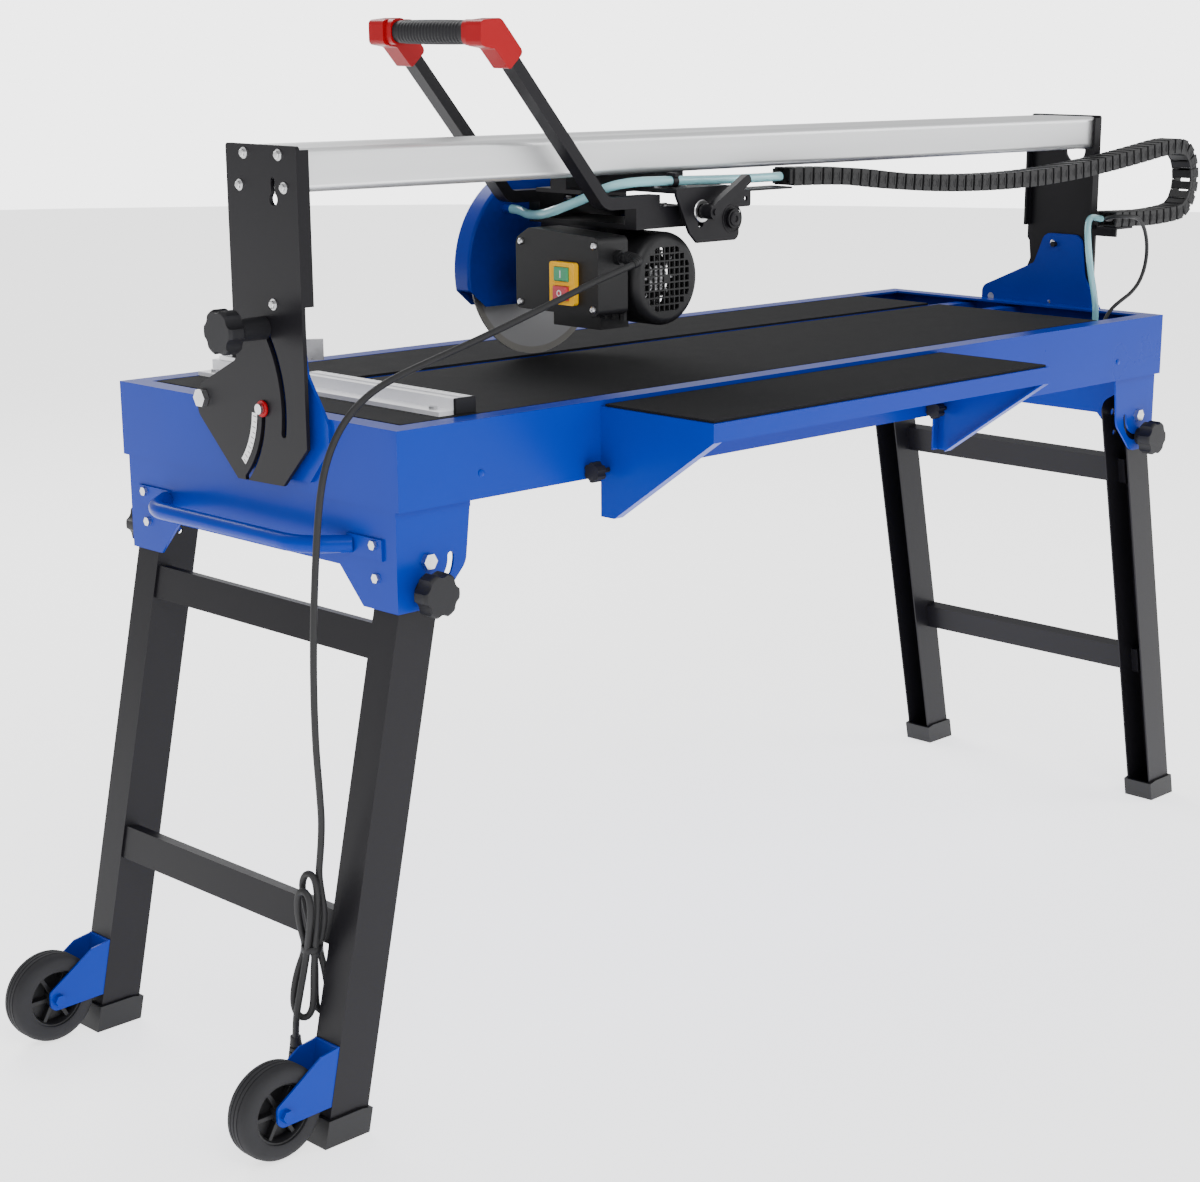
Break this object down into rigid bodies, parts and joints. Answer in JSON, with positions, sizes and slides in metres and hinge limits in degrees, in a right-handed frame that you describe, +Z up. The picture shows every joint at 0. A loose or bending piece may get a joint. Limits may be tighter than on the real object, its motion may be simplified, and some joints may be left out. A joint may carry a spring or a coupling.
{
  "type": "wet tile saw",
  "caption": "Rail-type wet tile saw: water tub table on folding wheeled legs, tilting rail bridge, rolling trolley with hinged motor head, blade guard and side table.",
  "frame": {"origin": "middle of the footprint at floor level", "axes": "+X from the wheeled end to the chain end, +Y from the operator to the back, +Z up"},
  "size_m": [1.9704, 0.7312, 1.2336],
  "materials": {
    "tub_blue": "gloss",
    "frame_charcoal": "satin",
    "deck_steel": "satin",
    "mat_rubber": "matt ribbed",
    "rail_silver": "brushed",
    "zinc": "zinc plated",
    "motor_aluminium": "cast, painted black",
    "black_plastic": "matt",
    "red_plastic": "satin",
    "green_plastic": "satin",
    "guard_blue": "gloss",
    "black_rubber": "matt",
    "disc_steel": "ground",
    "yellow_plastic": "satin",
    "hose_clear": "clear, slightly cyan",
    "white_mark": "printed scale"
  },
  "bodies": {
    "table": {"table_tub": "tub_blue", "deck_panels": "deck_steel", "deck_mats": "mat_rubber", "water_pump": "black_plastic", "leg_skirt_left": "tub_blue", "leg_skirt_right": "tub_blue", "carry_handle": "tub_blue", "side_table": "tub_blue", "side_table_mat": "mat_rubber", "tilt_bracket_left": "tub_blue", "tilt_bracket_right": "tub_blue", "fence_rail": "rail_silver", "table_bolts": "zinc", "mains_cord": "black_rubber", "cord_hank": "black_rubber", "mains_plug": "black_rubber", "post_hoses": "black_rubber"},
    "side_knob_l": {"side_knob_left": "black_plastic"},
    "side_knob_r": {"side_knob_right": "black_plastic"},
    "tilt_knob_l": {"tilt_knob_left": "black_plastic"},
    "tilt_knob_r": {"tilt_knob_right": "black_plastic"},
    "stop": {"angle_stop": "zinc"},
    "stop_nut": {"stop_knob": "black_plastic"},
    "left_legs": {"left_leg_front": "frame_charcoal", "left_leg_back": "frame_charcoal", "left_leg_bars": "frame_charcoal", "left_feet": "black_rubber", "wheel_forks": "tub_blue"},
    "wheel_f": {"wheel_front": "black_plastic"},
    "wheel_b": {"wheel_back": "black_plastic"},
    "knob_lf": {"leg_knob_left_front": "black_plastic"},
    "knob_lb": {"leg_knob_left_back": "black_plastic"},
    "right_legs": {"right_leg_front": "frame_charcoal", "right_leg_back": "frame_charcoal", "right_leg_bars": "frame_charcoal", "right_feet": "black_rubber"},
    "knob_rf": {"leg_knob_right_front": "black_plastic"},
    "knob_rb": {"leg_knob_right_back": "black_plastic"},
    "bridge": {"post_plate_left": "frame_charcoal", "post_plate_right": "frame_charcoal", "rail": "rail_silver", "energy_chain": "black_plastic"},
    "carriage": {"trolley": "frame_charcoal", "water_hose": "hose_clear"},
    "rollers_l": {"roller_pair_left": "zinc"},
    "rollers_r": {"roller_pair_right": "zinc"},
    "head": {"swing_arm": "frame_charcoal", "handle_frame": "frame_charcoal", "handle_corners": "red_plastic", "handle_grip": "black_plastic", "motor_housing": "motor_aluminium", "fan_cowl": "motor_aluminium", "terminal_box": "black_plastic", "switch_frame": "yellow_plastic", "blade_guard": "guard_blue"},
    "spindle": {"arbor": "zinc", "blade": "disc_steel"},
    "start_key": {"start_button": "green_plastic"},
    "stop_key": {"stop_button": "red_plastic"},
    "clamp_lever": {"lock_lever": "zinc"}
  },
  "joints": [
    {"name": "bridge_tilt", "type": "hinge", "parent": "table", "child": "bridge", "pos_m": [0.00375, 0.14035, 0.806], "axis": [-1, 0, 0], "range_deg": [0, 45], "deforming": ["mains_cord", "post_hoses"]},
    {"name": "carriage_slide", "type": "slide", "parent": "bridge", "child": "carriage", "axis": [1, 0, 0], "range_m": [-0.22, 0.82], "deforming": ["energy_chain", "mains_cord"]},
    {"name": "head_plunge", "type": "hinge", "parent": "carriage", "child": "head", "pos_m": [-0.13125, 0.01185, 0.991], "axis": [0, -1, 0], "range_deg": [0, 12], "deforming": ["water_hose", "mains_cord"]},
    {"name": "spindle_spin", "type": "hinge", "parent": "head", "child": "spindle", "pos_m": [-0.23325, 0.01435, 0.921], "axis": [0, 1, 0], "continuous": true},
    {"name": "clamp_lever_turn", "type": "hinge", "parent": "head", "child": "clamp_lever", "pos_m": [-0.18798, -0.11465, 1.00306], "axis": [0, 1, 0], "range_deg": [-30, 60]},
    {"name": "start_press", "type": "slide", "parent": "head", "child": "start_key", "axis": [1, 0, 0], "range_m": [0, 0.0025], "stiffness_N_per_m": 600},
    {"name": "stop_press", "type": "slide", "parent": "head", "child": "stop_key", "axis": [1, 0, 0], "range_m": [0, 0.0035], "stiffness_N_per_m": 600},
    {"name": "roller_spin_l", "type": "hinge", "parent": "carriage", "child": "rollers_l", "pos_m": [-0.30025, 0.01185, 1.06505], "axis": [0, 1, 0], "range_deg": [-3400, 3400]},
    {"name": "roller_spin_r", "type": "hinge", "parent": "carriage", "child": "rollers_r", "pos_m": [-0.14225, 0.01185, 1.06505], "axis": [0, 1, 0], "range_deg": [-3400, 3400]},
    {"name": "left_leg_fold", "type": "hinge", "parent": "table", "child": "left_legs", "pos_m": [-0.71075, 0.07685, 0.652], "axis": [0, -1, 0], "range_deg": [0, 102]},
    {"name": "right_leg_fold", "type": "hinge", "parent": "table", "child": "right_legs", "pos_m": [0.71825, 0.07685, 0.652], "axis": [0, 1, 0], "range_deg": [0, 102]},
    {"name": "wheel_front_spin", "type": "hinge", "parent": "left_legs", "child": "wheel_f", "pos_m": [-0.92925, -0.15215, 0.058], "axis": [0, 1, 0], "continuous": true},
    {"name": "wheel_back_spin", "type": "hinge", "parent": "left_legs", "child": "wheel_b", "pos_m": [-0.92925, 0.30585, 0.058], "axis": [0, 1, 0], "continuous": true},
    {"name": "knob_lf_turn", "type": "hinge", "parent": "left_legs", "child": "knob_lf", "pos_m": [-0.71782, -0.18565, 0.61874], "axis": [0, 1, 0], "continuous": true},
    {"name": "knob_lb_turn", "type": "hinge", "parent": "left_legs", "child": "knob_lb", "pos_m": [-0.71782, 0.33935, 0.61874], "axis": [0, 1, 0], "continuous": true},
    {"name": "knob_rf_turn", "type": "hinge", "parent": "right_legs", "child": "knob_rf", "pos_m": [0.72532, -0.18565, 0.61874], "axis": [0, 1, 0], "continuous": true},
    {"name": "knob_rb_turn", "type": "hinge", "parent": "right_legs", "child": "knob_rb", "pos_m": [0.72532, 0.33935, 0.61874], "axis": [0, 1, 0], "continuous": true},
    {"name": "tilt_knob_l_turn", "type": "hinge", "parent": "table", "child": "tilt_knob_l", "pos_m": [-0.79625, 0.01896, 0.89748], "axis": [1, 0, 0], "continuous": true},
    {"name": "tilt_knob_r_turn", "type": "hinge", "parent": "table", "child": "tilt_knob_r", "pos_m": [0.80375, 0.01896, 0.89748], "axis": [1, 0, 0], "continuous": true},
    {"name": "side_knob_l_turn", "type": "hinge", "parent": "table", "child": "side_knob_l", "pos_m": [-0.45625, -0.19865, 0.723], "axis": [1, 0, 0], "continuous": true},
    {"name": "side_knob_r_turn", "type": "hinge", "parent": "table", "child": "side_knob_r", "pos_m": [0.19375, -0.19865, 0.723], "axis": [1, 0, 0], "continuous": true},
    {"name": "angle_stop_slide", "type": "slide", "parent": "table", "child": "stop", "axis": [0, 1, 0], "range_m": [-0.03, 0.012]},
    {"name": "stop_knob_turn", "type": "hinge", "parent": "stop", "child": "stop_nut", "pos_m": [-0.62525, 0.27635, 0.82], "axis": [0, 0, 1], "continuous": true}
  ],
  "couplings": [
    {"joint": "roller_spin_l", "follows": "carriage_slide", "rad_per_m": -71.429},
    {"joint": "roller_spin_r", "follows": "carriage_slide", "rad_per_m": -71.429}
  ]
}
